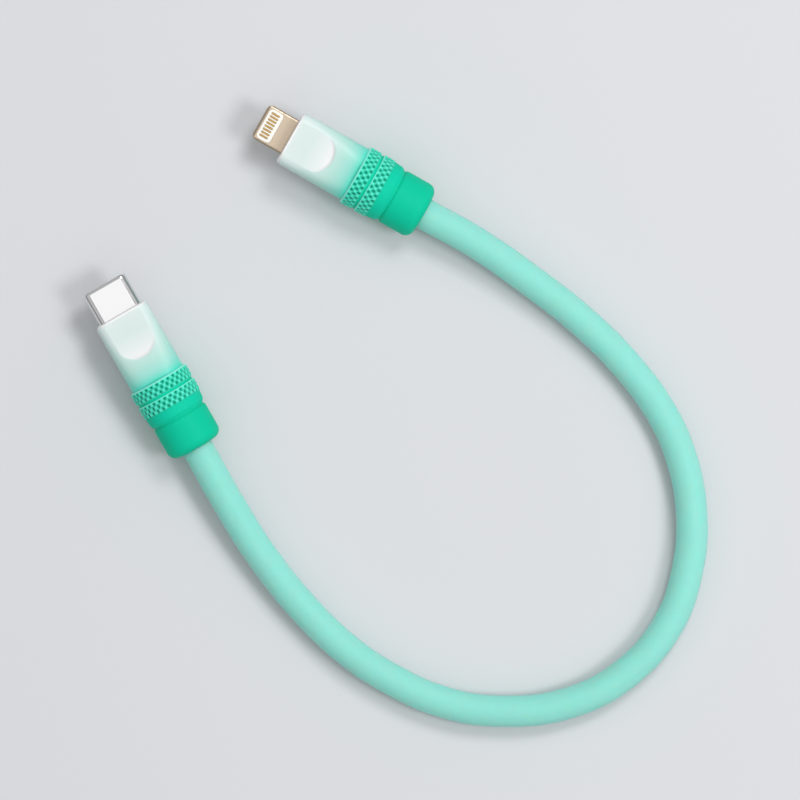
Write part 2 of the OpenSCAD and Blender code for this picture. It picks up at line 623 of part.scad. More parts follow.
module usb_c_boot() color(boot_green) on_usb_c_end() boot();
module usb_c_collar() color(knurl_green) on_usb_c_end() collar();
module usb_c_front_shell() color(shell_white) on_usb_c_end() front_shell(usb_c_w, usb_c_h, usb_c_h / 2);
module usb_c_inner_mould() color(natural_plastic) on_usb_c_end() inner_mould();
module usb_c_crimp() color(copper_tin) on_usb_c_end() crimp();
module usb_c_upper_can() color(steel) on_usb_c_end() can();
module usb_c_lower_can() color(steel) on_usb_c_end() mirror([0, 0, 1]) can();
module usb_c_board() color(board_green) on_usb_c_end() usb_c_board_shape();
module usb_c_board_parts() color(black_plastic) on_usb_c_end() usb_c_small_parts();
module usb_c_plug_shell() color(steel) on_usb_c_end() plug_shell();
module usb_c_insulator() color(black_plastic) on_usb_c_end() insulator();
module usb_c_upper_contacts() color(gold) on_usb_c_end() contact_row();
module usb_c_lower_contacts() color(gold) on_usb_c_end() mirror([0, 0, 1]) contact_row();
module usb_c_latch_spring() color(steel) on_usb_c_end() latch_spring();
module usb_c_ground_springs() color(steel) on_usb_c_end() for (m = [0, 1]) mirror([0, 0, m]) ground_spring();

module pin_plug_boot() color(boot_green) on_pin_end() boot();
module pin_plug_collar() color(knurl_green) on_pin_end() collar();
module pin_plug_front_shell() color(shell_white) on_pin_end() front_shell(tab_w, tab_t, 0.4);
module pin_plug_inner_mould() color(natural_plastic) on_pin_end() inner_mould();
module pin_plug_crimp() color(copper_tin) on_pin_end() crimp();
module pin_plug_upper_can() color(steel) on_pin_end() can();
module pin_plug_lower_can() color(steel) on_pin_end() mirror([0, 0, 1]) can();
module pin_plug_board() color(board_green) on_pin_end() pin_board_shape();
module pin_plug_board_parts() color(black_plastic) on_pin_end() pin_small_parts();
module pin_plug_tab() color(champagne) on_pin_end() tab();
module pin_plug_contact_carrier() color(white_plastic) on_pin_end() contact_carrier();
module pin_plug_contacts() pin_row(0, pin_board_t / 2 + touch / 2, tab_t / 2);
module pin_plug_upper_contacts() color(gold) on_pin_end() pin_plug_contacts();
module pin_plug_lower_contacts() color(gold) on_pin_end() mirror([0, 0, 1]) pin_plug_contacts();

cord_jacket();
cord_braid();
power_wire();
ground_wire();
data_plus_wire();
data_minus_wire();
sense_wire();
strength_yarn();
usb_c_boot();
usb_c_collar();
usb_c_front_shell();
usb_c_inner_mould();
usb_c_crimp();
usb_c_upper_can();
usb_c_lower_can();
usb_c_board();
usb_c_board_parts();
usb_c_plug_shell();
usb_c_insulator();
usb_c_upper_contacts();
usb_c_lower_contacts();
usb_c_latch_spring();
usb_c_ground_springs();
pin_plug_boot();
pin_plug_collar();
pin_plug_front_shell();
pin_plug_inner_mould();
pin_plug_crimp();
pin_plug_upper_can();
pin_plug_lower_can();
pin_plug_board();
pin_plug_board_parts();
pin_plug_tab();
pin_plug_contact_carrier();
pin_plug_upper_contacts();
pin_plug_lower_contacts();
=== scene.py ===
import json
import math

import bmesh
import bpy
import numpy as np
from mathutils import Matrix, Vector


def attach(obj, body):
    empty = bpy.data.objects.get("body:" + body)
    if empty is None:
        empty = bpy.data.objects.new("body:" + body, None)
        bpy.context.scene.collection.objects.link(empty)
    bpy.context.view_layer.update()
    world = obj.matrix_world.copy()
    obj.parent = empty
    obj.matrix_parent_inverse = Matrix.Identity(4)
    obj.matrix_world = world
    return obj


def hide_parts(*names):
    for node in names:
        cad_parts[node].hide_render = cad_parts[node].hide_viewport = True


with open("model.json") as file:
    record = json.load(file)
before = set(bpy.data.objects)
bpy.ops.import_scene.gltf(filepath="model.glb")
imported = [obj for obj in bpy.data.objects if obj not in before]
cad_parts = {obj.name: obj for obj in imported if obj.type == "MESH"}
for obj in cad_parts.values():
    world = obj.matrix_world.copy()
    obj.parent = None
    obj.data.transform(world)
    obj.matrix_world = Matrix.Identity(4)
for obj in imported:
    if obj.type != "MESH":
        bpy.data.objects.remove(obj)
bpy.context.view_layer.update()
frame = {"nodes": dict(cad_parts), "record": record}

# Looks of a short charging cable: a mint silicone cord with a USB-C plug and a flat eight-pin plug.
# Lengths are written in millimetres and turned into metres by MM. Each end is drawn along its own
# X axis: x = 0 where the cord leaves the boot, and +X towards the plug's tip.

MM = 0.001

# ---------- sizes of an end ----------

CORD_R = 2.75
BORE_R = 2.8
BOOT_R = 5.05
BOOT_EDGE_R = 1.6
SEAM_X = 6.4                     # boot meets collar
SEAM_R = 0.7                     # the soft valley between them
BEVEL = 0.15
MOUTH_BEVEL = 0.2                # round the boot's mouth, where the cord leaves it
SPIGOT_R = 4.75
SPIGOT_WALL = 0.5
SPIGOT_END_X = 9.0
SPIGOT_GAP = 0.1
TAIL_R = 3.6
TAIL_X = 3.2
BOOT_SEGMENTS = 160
EDGE_STEPS = 14
SEAM_STEPS = 10

BAND_X = 8.6                     # first knurled band
BAND_L = 2.25
BAND_EDGE_L = 0.2                # how far in from its edges a band reaches its full height
GROOVE_W = 0.5
COLLAR_X = 13.75                 # the collar's front face
KNURL_R = 5.55
KNURL_DEPTH = 0.35
KNURL_COLUMNS = 60
KNURL_ROWS = 3
STEPS_PER_COLUMN = 7
STEPS_PER_ROW = 10
# Where a smooth step starts and ends, from 0 on a ridge's line to 1 midway between two lines:
PIT_STEP = (0.15, 0.9)           # by the nearer line
SADDLE_STEP = (0.1, 0.9)         # by the farther line
# and by millimetres behind a band's front edge:
PLAIN_RIM = (0.1, 0.3)
POLISHED_HIGHLIT_RIM = (0.06, 0.22)
SADDLE_SHARE = 0.3               # of the knurling's depth
RIM_SHARE = 0.2                  # of the polish and painted highlight
# The collar's rise from the seam: how far along from the seam, and out from the boot's radius
COLLAR_RISE = [(0, -0.3), (0.12, -0.22), (0.3, -0.06), (0.55, 0.1), (0.9, 0.2)]

FRONT_X = 26.75                  # the front shell's front face
SHELL_W = 10.0
SHELL_REAR_H = 9.7
SHELL_FRONT_H = 7.3
SHELL_TAPER = 0.55               # under 1, so that the height falls fastest beside the collar
SQUARE_REAR = 2.4                # squareness beside the collar, where 2 is round
SQUARE_GAIN = 2.2                # and what it gains towards the front
SQUARE_TAPER = 0.7
SHELL_EDGE_R = 0.35              # along the front edge
SHELL_CORNER_L = 1.0             # rounding of the front corners: length and width
SHELL_CORNER_W = 0.7
SHELL_FRONT_WALL = 1.5
SHELL_POINTS = 320
SHELL_STATIONS = 110
CORNER_STATIONS = 18
REST_R = 3.9                     # rear end of the thumb rest
REST_X = FRONT_X - 4.6           # middle of that round end
REST_Z = 3.5                     # height of the thumb rest above the axis, at the front
REST_SLOPE = math.tan(math.radians(2))
REST_FILLET = 0.6                # width of the wall round the thumb rest
REST_TINT_DEPTH = 0.05           # how deep and how far in the rest is whiter
REST_TINT_W = 0.4
CAVITY_W = 8.4
CAVITY_H = 5.6
CAVITY_R = 2.45
FUNNEL_L = 0.5
CLEAR = 0.05

TIP_X = 32.65                    # both plugs' tips
PLUG_ROOT_X = FRONT_X - 4.7      # rear end of the USB-C plug's steel shell
USB_C_W = 8.25
USB_C_H = 2.4
USB_C_WALL = 0.2
USB_C_TIP_L = 0.65               # rounding of the tip: length and depth
USB_C_TIP_H = 0.32
USB_C_TIP_STEPS = 16
USB_C_LIP = 0.35                 # the tip's folded lip: height and length
USB_C_LIP_L = 0.3
TAB_W = 6.7
TAB_H = 1.5
TAB_R = 0.4                      # corners of the shell's hole for the tab
JACKET_END_X = 8.25              # how far the jacket runs into an end

# The cord's centre line between the boots: x, y, and height lifted above lying on the table
ROUTE = [
    (-5, -39, 1.5), (0, -47, 0.6), (7.5, -56.5, 0.15), (15.4, -64.1, 0), (22.9, -69.1, 0),
    (32, -73.1, 0), (41.5, -74.7, 0), (54.1, -73.2, 0), (63.7, -68.2, 0), (71.2, -59.6, 0),
    (74.6, -50, 0), (75.3, -40.5, 0), (73.3, -29.9, 0), (69.6, -22, 0), (64, -14.5, 0),
    (56.5, -7, 0.15), (46.4, 0.9, 0.6), (37.5, 7, 1.5),
]

# ---------- where things are ----------

mounts = {m["name"]: m for m in frame["record"]["mounts"]}


def end_matrix(mount):
    """An end's own frame, from the plug mount at its tip."""
    along = Vector(mount["axis"]).normalized()
    across = Vector((0, 0, 1)).cross(along).normalized()
    up = along.cross(across)
    start = Vector(mount["pos_m"]) - along * TIP_X * MM
    matrix = Matrix((along, across, up)).transposed().to_4x4()
    matrix.translation = start
    return matrix


USB_C = end_matrix(mounts["usb_c_plug"])
PIN_PLUG = end_matrix(mounts["eight_pin_plug"])


# ---------- mesh helpers ----------

def smoothstep(low, high, value):
    t = np.clip((value - low) / (high - low), 0, 1)
    return t * t * (3 - 2 * t)


def piece_from_rings(name, rings, matrix, slot, replaced):
    """A closed skin through a loop of rings, each an array of points in millimetres."""
    rings = np.asarray(rings, float)
    ring_count, ring_points = rings.shape[:2]
    ring, point = np.meshgrid(np.arange(ring_count), np.arange(ring_points), indexing="ij")
    next_ring = (ring + 1) % ring_count
    next_point = (point + 1) % ring_points
    corners = [(ring, point), (ring, next_point), (next_ring, next_point), (next_ring, point)]
    faces = np.stack([r * ring_points + p for r, p in corners], axis=-1).reshape(-1, 4)
    mesh = bpy.data.meshes.new(name)
    mesh.from_pydata((rings.reshape(-1, 3) * MM).tolist(), [], faces.tolist())
    form = bmesh.new()
    form.from_mesh(mesh)
    bmesh.ops.recalc_face_normals(form, faces=form.faces)
    form.to_mesh(mesh)
    form.free()
    mesh.shade_smooth()
    mesh.set_sharp_from_angle(angle=math.radians(50))
    piece = bpy.data.objects.new(name, mesh)
    bpy.context.scene.collection.objects.link(piece)
    piece.matrix_world = matrix
    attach(piece, "root")
    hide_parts(replaced)
    mesh.materials.append(MATERIALS[slot])
    return piece


def mark(piece, name, rings):
    """Gives the points of a piece's first rings a value each, and the rest 0."""
    values = np.zeros(len(piece.data.vertices), np.float32)
    given = np.concatenate(rings)
    values[:len(given)] = given
    piece.data.attributes.new(name, "FLOAT", "POINT").data.foreach_set("value", values)


def ring_at(x, radius, angle):
    """A ring across the X axis at x, with a point at each angle."""
    return np.stack([np.full(len(angle), x), radius * np.cos(angle), radius * np.sin(angle)], axis=-1)


def turned(profile, segments):
    """Rings of a profile of (x, radius) points turned round the X axis."""
    angle = np.arange(segments) * 2 * math.pi / segments
    return [ring_at(x, radius, angle) for x, radius in profile]


def arc(x, r, radius, start, end, steps):
    """Points of an arc round (x, r) in a profile, with angles in degrees from +X."""
    return [(x + radius * math.cos(math.radians(a)), r + radius * math.sin(math.radians(a)))
            for a in np.linspace(start, end, steps)]


# ---------- materials ----------

def linear(red, green, blue):
    """A colour written as 0-255 sRGB, as Blender's linear RGBA."""
    values = [c / 255 for c in (red, green, blue)]
    return [c / 12.92 if c <= 0.04045 else ((c + 0.055) / 1.055) ** 2.4 for c in values] + [1.0]


class Finish:
    """A Principled material with its node tree at hand."""

    def __init__(self, name, colour, roughness, metallic=0.0, specular=0.5, ior=1.46):
        self.name = name
        self.material = bpy.data.materials.new(name)
        self.material.use_nodes = True
        self.tree = self.material.node_tree
        self.shader = self.tree.nodes["Principled BSDF"]
        self.colour = linear(*colour)
        self.shader.inputs["Base Color"].default_value = self.colour
        self.shader.inputs["Roughness"].default_value = roughness
        self.shader.inputs["Metallic"].default_value = metallic
        self.shader.inputs["Specular IOR Level"].default_value = specular
        self.shader.inputs["IOR"].default_value = ior

    def node(self, kind, **inputs):
        made = self.tree.nodes.new(kind)
        for key, value in inputs.items():
            made.inputs[key.replace("_", " ")].default_value = value
        return made

    def link(self, a, b):
        self.tree.links.new(a, b)

    def place(self, heading=0.0, stretch=(1, 1, 1)):
        """Object coordinates, turned so that X runs along a heading, and stretched."""
        coordinates = self.node("ShaderNodeTexCoord")
        mapping = self.node("ShaderNodeMapping")
        mapping.vector_type = "TEXTURE"
        mapping.inputs["Rotation"].default_value = (0, 0, heading)
        mapping.inputs["Scale"].default_value = stretch
        self.link(coordinates.outputs["Object"], mapping.inputs["Vector"])
        return mapping.outputs["Vector"]

    def noise(self, size, detail=2.0, place=None):
        """Noise whose features are about size metres across."""
        made = self.node("ShaderNodeTexNoise", Scale=1 / size, Detail=detail)
        self.link(place or self.place(), made.inputs["Vector"])
        return made.outputs["Fac"]

    def tint(self, factor, amount):
        """Varies the base colour by a factor from 0 to 1, lighter and darker by amount."""
        low = [c * (1 - amount) for c in self.colour[:3]] + [1.0]
        high = [min(c * (1 + amount), 1) for c in self.colour[:3]] + [1.0]
        mix = self.tree.nodes.new("ShaderNodeMix")
        mix.data_type = "RGBA"
        mix.inputs[6].default_value = low
        mix.inputs[7].default_value = high
        self.link(factor, mix.inputs[0])
        self.link(mix.outputs[2], self.shader.inputs["Base Color"])

    def ramp(self, factor, stops):
        """A colour that changes with a factor, through stops of (factor, colour)."""
        made = self.node("ShaderNodeValToRGB")
        bar = made.color_ramp
        while len(bar.elements) < len(stops):
            bar.elements.new(0.5)
        for element, (at, colour) in zip(bar.elements, stops):
            element.position = at
            element.color = linear(*colour)
        self.link(factor, made.inputs["Fac"])
        return made.outputs["Color"]

    def attribute(self, name):
        made = self.node("ShaderNodeAttribute")
        made.attribute_name = name
        return made.outputs["Fac"]

    def math(self, operation, *values):
        made = self.tree.nodes.new("ShaderNodeMath")
        made.operation = operation
        for value, socket in zip(values, made.inputs):
            self.link(value, socket)
        return made.outputs["Value"]

    def mix(self, factor, one, other):
        """One colour socket, or written colour, mixed into the other by a factor."""
        made = self.tree.nodes.new("ShaderNodeMix")
        made.data_type = "RGBA"
        self.link(factor, made.inputs[0])
        for socket, colour in ((made.inputs[6], one), (made.inputs[7], other)):
            if isinstance(colour, tuple):
                socket.default_value = linear(*colour)
            else:
                self.link(colour, socket)
        return made.outputs[2]

    def between(self, value, start, end, low=0.0, high=1.0):
        """Goes from low to high as a value goes from start to end."""
        made = self.node("ShaderNodeMapRange", From_Min=start, From_Max=end, To_Min=low, To_Max=high)
        self.link(value, made.inputs["Value"])
        return made.outputs["Result"]

    def vary(self, name, factor, low, high, start=0.3, end=0.7):
        """Lets an input of the shader go from low to high as a factor goes from start to end."""
        self.link(self.between(factor, start, end, low, high), self.shader.inputs[name])

    def soften(self, weight, reach, spread=(1, 1, 1)):
        """Lets light spread under the surface, over about reach metres times each colour's spread."""
        self.shader.inputs["Subsurface Weight"].default_value = weight
        self.shader.inputs["Subsurface Radius"].default_value = spread
        self.shader.inputs["Subsurface Scale"].default_value = reach

    def bump(self, height, depth, strength=1.0):
        """Bump of that depth in metres; several bumps are chained."""
        made = self.node("ShaderNodeBump", Strength=strength, Distance=depth)
        self.link(height, made.inputs["Height"])
        last = self.shader.inputs["Normal"]
        if last.is_linked:
            self.link(last.links[0].from_socket, made.inputs["Normal"])
        self.link(made.outputs["Normal"], last)

    def round_edges(self, radius):
        """Shades sharp edges as if they were rounded."""
        made = self.tree.nodes.new("ShaderNodeBevel")
        made.samples = 6
        made.inputs["Radius"].default_value = radius
        self.link(made.outputs["Normal"], self.shader.inputs["Normal"])


def soft_touch(name, colour, roughness, specular, grain, depth):
    """Moulded rubber or plastic: fine grain, slow changes of tone, and uneven sheen."""
    made = Finish(name, colour, roughness, specular=specular)
    made.tint(made.noise(1.5 * MM, detail=4), amount=0.02)
    made.vary("Roughness", made.noise(1.2 * MM, detail=4), roughness - 0.06, roughness + 0.06)
    made.bump(made.noise(grain), depth)
    return made


def silicone(name, colour):
    """Matt silicone that lets light a little way in."""
    made = soft_touch(name, colour, roughness=0.5, specular=0.25, grain=0.12 * MM, depth=0.004 * MM)
    made.soften(weight=1.0, reach=2.5 * MM, spread=(0.1, 1, 0.8))
    return made


def knurled(name, smooth, ridge_and_highlight, rim_highlight, pit_and_shade):
    """Rubber whose knurling is polished on the ridges and rims and dull in the pits; its lighter ridge and
    rim colours are painted highlight and its darker pit colour is painted shade.
    """
    made = Finish(name, smooth, 0.5, specular=0.6)
    on_ridge = made.attribute("ridge_and_highlight")
    # Lighter colour on the ridges, lighter still on the rims: painted highlight.
    raised = made.ramp(on_ridge, [(0.0, smooth), (0.8, ridge_and_highlight), (1.0, rim_highlight)])
    # Darker colour down in the pits: painted shade.
    colour = made.mix(made.attribute("pit_and_shade"), raised, pit_and_shade)
    made.link(colour, made.shader.inputs["Base Color"])
    made.vary("Roughness", on_ridge, 0.6, 0.3, start=0, end=1)
    made.vary("Specular IOR Level", on_ridge, 0.08, 1.0, start=0, end=1)
    made.bump(made.noise(0.1 * MM), depth=0.003 * MM)
    return made


def metal(name, colour, roughness, heading=0.0, streak=12.0, edge=0.08 * MM, depth=0.002 * MM):
    """Metal with fine streaks along its heading."""
    made = Finish(name, colour, roughness, metallic=1.0)
    along = made.place(heading, (streak, 1, 1))
    streaks = made.noise(0.12 * MM, detail=3, place=along)
    made.tint(streaks, amount=0.03)
    made.vary("Roughness", streaks, roughness - 0.04, roughness + 0.06)
    made.round_edges(edge)
    made.bump(streaks, depth)
    return made


def moulded(name, colour, roughness):
    """Plain moulded plastic or laminate inside an end."""
    made = Finish(name, colour, roughness)
    made.tint(made.noise(1.0 * MM, detail=3), amount=0.04)
    made.bump(made.noise(0.08 * MM), depth=0.002 * MM)
    return made


def shell_finish(name):
    """White plastic that fades to green beside the collar, with a whiter thumb rest and a painted highlight
    along the front rim.
    """
    made = Finish(name, (220, 236, 233), 0.4, specular=0.4)
    split = made.node("ShaderNodeSeparateXYZ")
    made.link(made.place(), split.inputs["Vector"])
    off_axis = made.math("ABSOLUTE", split.outputs["Y"])
    along = made.between(split.outputs["X"], COLLAR_X * MM, FRONT_X * MM)
    # Towards both sides the fade to white is held back, so the sides stay greener.
    beside = made.between(off_axis, 3.3 * MM, 4.6 * MM, low=1, high=0.6)
    body = made.ramp(made.math("MULTIPLY", along, beside), [
        (0.0, (60, 226, 200)), (0.065, (130, 222, 206)), (0.135, (160, 224, 213)),
        (0.30, (188, 226, 217)), (0.60, (215, 231, 228)), (0.95, (221, 233, 230))])
    rest_fade = made.between(along, 0.42, 0.72, low=1, high=0)
    rest = made.math("MULTIPLY", made.attribute("rest"), rest_fade)
    with_rest = made.mix(rest, body, (238, 240, 240))
    # A whiter band along the front edge: painted highlight.
    with_rim_highlight = made.mix(made.between(along, 0.965, 0.985), with_rest, (250, 251, 250))
    made.link(with_rim_highlight, made.shader.inputs["Base Color"])
    made.vary("Roughness", made.noise(1.5 * MM, detail=4), 0.34, 0.44)
    made.bump(made.noise(0.09 * MM), depth=0.0015 * MM)
    made.soften(weight=0.5, reach=1.0 * MM)
    return made


def heading_of(matrix):
    return math.atan2(matrix[1][0], matrix[0][0])


FINISHES = [
    soft_touch("boot_rubber", (14, 198, 158), roughness=0.5, specular=0.06, grain=0.1 * MM,
               depth=0.004 * MM),
    # The collar's ridge and rim colours are painted highlight, and its pit colour is painted shade.
    knurled("collar_rubber", smooth=(15, 204, 167), ridge_and_highlight=(66, 240, 210), rim_highlight=(140, 248, 228),
            pit_and_shade=(4, 148, 116)),
    silicone("jacket_rubber", (151, 222, 211)),
    shell_finish("shell_plastic"),
    metal("plug_steel", (224, 224, 225), 0.14),
    metal("tab_metal", (189, 173, 153), 0.37, heading_of(PIN_PLUG), streak=4, edge=0.04 * MM,
          depth=0.012 * MM),
    metal("contact_gold", (178, 148, 98), 0.3, heading_of(PIN_PLUG)),
    metal("spring_steel", (205, 205, 207), 0.3),
    metal("can_steel", (200, 202, 204), 0.35),
    metal("crimp_brass", (205, 185, 130), 0.35),
    metal("braid_copper", (190, 180, 165), 0.4),
    moulded("insulator_plastic", (22, 22, 24), 0.35),
    moulded("carrier_plastic", (246, 243, 236), 0.35),
    moulded("mould_plastic", (226, 223, 205), 0.45),
    moulded("board_laminate", (14, 90, 52), 0.4),
    moulded("chip_plastic", (24, 24, 26), 0.45),
    moulded("power_insulation", (200, 30, 28), 0.4),
    moulded("ground_insulation", (34, 34, 36), 0.4),
    moulded("data_plus_insulation", (30, 140, 60), 0.4),
    moulded("data_minus_insulation", (236, 236, 232), 0.4),
    moulded("sense_insulation", (36, 74, 180), 0.4),
    moulded("yarn", (228, 214, 130), 0.7),
]
MATERIALS = {made.name: made.material for made in FINISHES}

for subpart in frame["record"]["subparts"]:
    data = frame["nodes"][subpart["node"]].data
    data.materials.clear()
    data.materials.append(MATERIALS[subpart["material_slot"]])


# ---------- camera and light ----------

PICTURE_PIXELS = 800
PIXELS_PER_MM = 5.75
VIEW_X = 24.5                    # the point of the table in the middle of the picture
VIEW_Y = -20.5
VIEW_Z = 5.0
CAMERA_UP = 1300.0
SENSOR = 36.0
picture_w = PICTURE_PIXELS / PIXELS_PER_MM

camera_data = bpy.data.cameras.new("camera")
camera_data.sensor_fit = "HORIZONTAL"
camera_data.sensor_width = SENSOR
camera_data.lens = SENSOR * CAMERA_UP / picture_w
camera_data.clip_start = 0.05
camera_data.clip_end = 20
camera = bpy.data.objects.new("camera", camera_data)
camera.location = (VIEW_X * MM, VIEW_Y * MM, (VIEW_Z + CAMERA_UP) * MM)
bpy.context.scene.collection.objects.link(camera)
bpy.context.scene.camera = camera


def softbox(name, at, size, level):
    """A square lamp that lights a matt surface facing it, at the picture's middle, to that level."""
    data = bpy.data.lights.new(name, "AREA")
    data.shape = "SQUARE"
    data.size = size
    target = Vector((VIEW_X * MM, VIEW_Y * MM, 0))
    way = target - Vector(at)
    data.energy = level * math.pi ** 2 * way.length_squared
    lamp = bpy.data.objects.new(name, data)
    lamp.location = at
    lamp.rotation_euler = way.to_track_quat("-Z", "Y").to_euler()
    bpy.context.scene.collection.objects.link(lamp)


LAMP_SIZE = 0.3
LAMP_LEVEL = 0.30
softbox("key", (0.57, -0.14, 0.85), LAMP_SIZE, LAMP_LEVEL)
softbox("second_key", (0.31, 0.45, 0.85), LAMP_SIZE, LAMP_LEVEL)

world = bpy.data.worlds.new("studio")
bpy.context.scene.world = world
world.use_nodes = True
sky = world.node_tree
sky_place = sky.nodes.new("ShaderNodeTexCoord")
sky_split = sky.nodes.new("ShaderNodeSeparateXYZ")
sky_ramp = sky.nodes.new("ShaderNodeValToRGB")
sky.links.new(sky_place.outputs["Generated"], sky_split.inputs["Vector"])
sky.links.new(sky_split.outputs["Z"], sky_ramp.inputs["Fac"])
sky.links.new(sky_ramp.outputs["Color"], sky.nodes["Background"].inputs["Color"])
# Level of the sky by the sine of the height above the horizon
SKY = [(0.0, 0.15), (0.25, 0.30), (0.5, 0.50), (0.84, 0.76), (0.887, 0.30), (0.942, 0.30),
       (0.967, 1.25), (1.0, 1.25)]
bar = sky_ramp.color_ramp
while len(bar.elements) < len(SKY):
    bar.elements.new(0.5)
for element, (at, level) in zip(bar.elements, SKY):
    element.position = at
    element.color = (level, level, level, 1)

FLOOR_REACH = 3.0                # metres from the middle to each side
floor_mesh = bpy.data.meshes.new("floor")
corner_signs = [(-1, -1), (1, -1), (1, 1), (-1, 1)]
floor_mesh.from_pydata([(x * FLOOR_REACH, y * FLOOR_REACH, 0) for x, y in corner_signs], [], [(0, 1, 2, 3)])
floor = bpy.data.objects.new("floor", floor_mesh)
bpy.context.scene.collection.objects.link(floor)
floor_finish = Finish("floor_paper", (214, 216, 219), 0.8, specular=0.2)
floor_mesh.materials.append(floor_finish.material)

view = bpy.context.scene.view_settings
view.view_transform = "Standard"


# ---------- the cord ----------

def on_end(matrix, x):
    return matrix @ Vector((x * MM, 0, 0))


cord_points = [on_end(USB_C, JACKET_END_X), on_end(USB_C, 0)]
cord_points += [Vector((x * MM, y * MM, (CORD_R + lift) * MM)) for x, y, lift in ROUTE]
cord_points += [on_end(PIN_PLUG, 0), on_end(PIN_PLUG, JACKET_END_X)]

cord_curve = bpy.data.curves.new("cord", "CURVE")
cord_curve.dimensions = "3D"
cord_curve.resolution_u = 24
cord_curve.bevel_depth = CORD_R * MM
cord_curve.bevel_resolution = 14
cord_curve.use_fill_caps = True
spline = cord_curve.splines.new("BEZIER")
spline.bezier_points.add(len(cord_points) - 1)
for knot, point in zip(spline.bezier_points, cord_points):
    knot.co = point
    knot.handle_left_type = knot.handle_right_type = "AUTO"
cord_curve.materials.append(MATERIALS["jacket_rubber"])
cord = bpy.data.objects.new("cord", cord_curve)
bpy.context.scene.collection.objects.link(cord)
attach(cord, "root")
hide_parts("cord_jacket")


# ---------- boot ----------

def boot(name, matrix):
    """The smooth sleeve behind the collar, with its spigot inside the collar."""
    spigot_end = SPIGOT_END_X - SPIGOT_GAP
    profile = [(0.0, BORE_R + MOUTH_BEVEL)]
    profile += arc(BOOT_EDGE_R, BOOT_R - BOOT_EDGE_R, BOOT_EDGE_R, 180, 90, EDGE_STEPS)
    profile += [(x, BOOT_R) for x in np.linspace(BOOT_EDGE_R + 0.6, SEAM_X - 2 * SEAM_R, 8)]
    profile += arc(SEAM_X - SEAM_R, BOOT_R - SEAM_R, SEAM_R, 90, 35, SEAM_STEPS)
    profile += [(SEAM_X, SPIGOT_R), (spigot_end, SPIGOT_R), (spigot_end, TAIL_R + CLEAR),
                (TAIL_X - CLEAR, TAIL_R + CLEAR), (TAIL_X - CLEAR, BORE_R), (MOUTH_BEVEL, BORE_R)]
    piece_from_rings(name, turned(profile, BOOT_SEGMENTS), matrix, "boot_rubber", name)


boot("usb_c_boot", USB_C)
boot("pin_plug_boot", PIN_PLUG)


# ---------- collar ----------

first_end = BAND_X + BAND_L
last_start = first_end + GROOVE_W
last_end = last_start + BAND_L
COLLAR_PROFILE = [(SEAM_X + along, BOOT_R + out) for along, out in COLLAR_RISE]
COLLAR_PROFILE += [
    (BAND_X - BEVEL, KNURL_R - 1.5 * BEVEL), (BAND_X, KNURL_R - BEVEL),
    (BAND_X + BAND_EDGE_L, KNURL_R), (first_end - BAND_EDGE_L, KNURL_R), (first_end, KNURL_R - BEVEL),
    (first_end + 0.25 * GROOVE_W, KNURL_R - KNURL_DEPTH),
    (first_end + 0.75 * GROOVE_W, KNURL_R - KNURL_DEPTH),
    (last_start, KNURL_R - BEVEL), (last_start + BAND_EDGE_L, KNURL_R),
    (last_end - BAND_EDGE_L, KNURL_R), (last_end, KNURL_R - BEVEL),
    (COLLAR_X, KNURL_R - 2 * BEVEL),
]


def knurl(x, angle):
    """At x and each angle: how far a point is down in a pit and up on a ridge, both from 0 to 1. The pit
    value also places painted shade, and the ridge value polish and painted highlight.
    """
    row_step = BAND_L / KNURL_ROWS
    pit_and_shade = np.zeros_like(angle)
    ridge_and_highlight = np.zeros_like(angle)
    if x >= last_end:
        ridge_and_highlight = np.ones_like(angle)
    for start in (BAND_X, last_start):
        if not start < x < start + BAND_L:
            continue
        to_edge = start + BAND_L - x
        column = angle / (2 * math.pi) * KNURL_COLUMNS
        row = (x - start) / row_step - 0.5
        one_way = abs((column + row) / 2 % 1 - 0.5) * 2
        other_way = abs((column - row) / 2 % 1 - 0.5) * 2
        hollow = smoothstep(*PIT_STEP, np.minimum(one_way, other_way))
        saddle = smoothstep(*SADDLE_STEP, np.maximum(one_way, other_way))
        # How deep a point is in a pit, which also sets the painted shade there.
        pit_and_shade = ((1 - SADDLE_SHARE) * hollow + SADDLE_SHARE * saddle) * smoothstep(*PLAIN_RIM, to_edge)
        # Each band's front rim is polished, and its lighter colour there is painted highlight.
        rim_highlight = 1 - smoothstep(*POLISHED_HIGHLIT_RIM, to_edge)
        ridge_and_highlight = (1 - RIM_SHARE) * (1 - pit_and_shade) + RIM_SHARE * rim_highlight
    return pit_and_shade, ridge_and_highlight


def collar(name, matrix):
    """A sleeve with two bands of diamond knurling and a groove between them."""
    step = BAND_L / KNURL_ROWS / STEPS_PER_ROW
    xs = np.linspace(SEAM_X, COLLAR_X, round((COLLAR_X - SEAM_X) / step) + 1)
    base = np.interp(xs, *zip(*COLLAR_PROFILE))
    base[1:-1] = (base[:-2] + 2 * base[1:-1] + base[2:]) / 4
    segments = KNURL_COLUMNS * STEPS_PER_COLUMN
    angle = np.arange(segments) * 2 * math.pi / segments
    rings, pit_and_shade_rings, ridge_and_highlight_rings = [], [], []
    for x, r in zip(xs, base):
        pit_and_shade, ridge_and_highlight = knurl(x, angle)
        rings.append(ring_at(x, r - KNURL_DEPTH * pit_and_shade, angle))
        pit_and_shade_rings.append(pit_and_shade)
        ridge_and_highlight_rings.append(ridge_and_highlight)
    inner = turned([(COLLAR_X, SPIGOT_R + CLEAR), (SEAM_X, SPIGOT_R + CLEAR)], segments)
    piece = piece_from_rings(name, rings + inner, matrix, "collar_rubber", name)
    mark(piece, "pit_and_shade", pit_and_shade_rings)
    mark(piece, "ridge_and_highlight", ridge_and_highlight_rings)


collar("usb_c_collar", USB_C)
collar("pin_plug_collar", PIN_PLUG)


# ---------- front shell ----------

